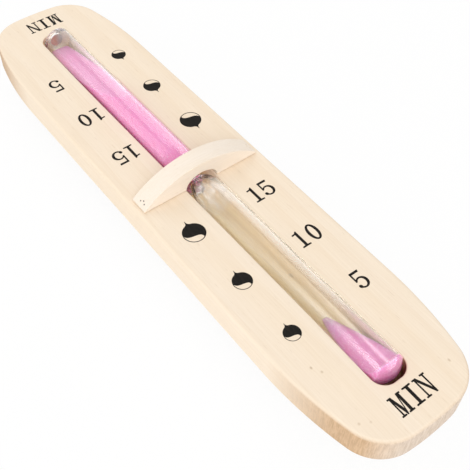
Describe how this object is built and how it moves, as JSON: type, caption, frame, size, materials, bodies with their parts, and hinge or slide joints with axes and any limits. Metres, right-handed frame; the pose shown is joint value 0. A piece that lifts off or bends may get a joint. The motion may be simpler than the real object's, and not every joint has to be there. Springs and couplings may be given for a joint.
{
  "type": "sauna hourglass",
  "caption": "Wall sand timer for a sauna: long pale wooden board with a sand glass in a groove, an arched bridge over its neck and a pivot to turn it upside down.",
  "frame": {"origin": "middle of the wall plate's back face, which is the lowest face with the timer on its back", "axes": "+Z out of the timer's front face and along the pivot, +Y along the board to the end whose bulb holds most sand, +X to the right"},
  "size_m": [0.0754, 0.341, 0.0425],
  "materials": {
    "board_wood": "pale sanded wood, no varnish",
    "bridge_wood": "pale sanded wood, no varnish",
    "plate_wood": "pale sawn wood",
    "pin_steel": "bare steel brad",
    "clear_glass": "clear blown glass",
    "plug_rubber": "brown soft plug",
    "pink_sand": "fine dyed sand",
    "zinc_steel": "zinc-plated",
    "spacer_plastic": "plain moulded washer",
    "print_ink": "dull black printed ink on the board's face"
  },
  "bodies": {
    "wall_mount": {"wall_plate": "plate_wood", "pivot_bolt": "zinc_steel", "head_washer": "zinc_steel", "spacer_washer": "spacer_plastic", "plate_washer": "zinc_steel", "lock_nut": "zinc_steel"},
    "timer_board": {"front_board": "board_wood", "bridge": "bridge_wood", "bridge_pin_left_upper": "pin_steel", "bridge_pin_left_middle": "pin_steel", "bridge_pin_left_lower": "pin_steel", "bridge_pin_right_upper": "pin_steel", "bridge_pin_right_middle": "pin_steel", "bridge_pin_right_lower": "pin_steel", "glass_bulbs": "clear_glass", "fill_plug": "plug_rubber", "sand_upper": "pink_sand", "sand_lower": "pink_sand"}
  },
  "joints": [
    {"name": "board_turn", "type": "hinge", "parent": "wall_mount", "child": "timer_board", "pos_m": [0, 0, 0], "axis": [0, 0, 1], "continuous": true}
  ]
}
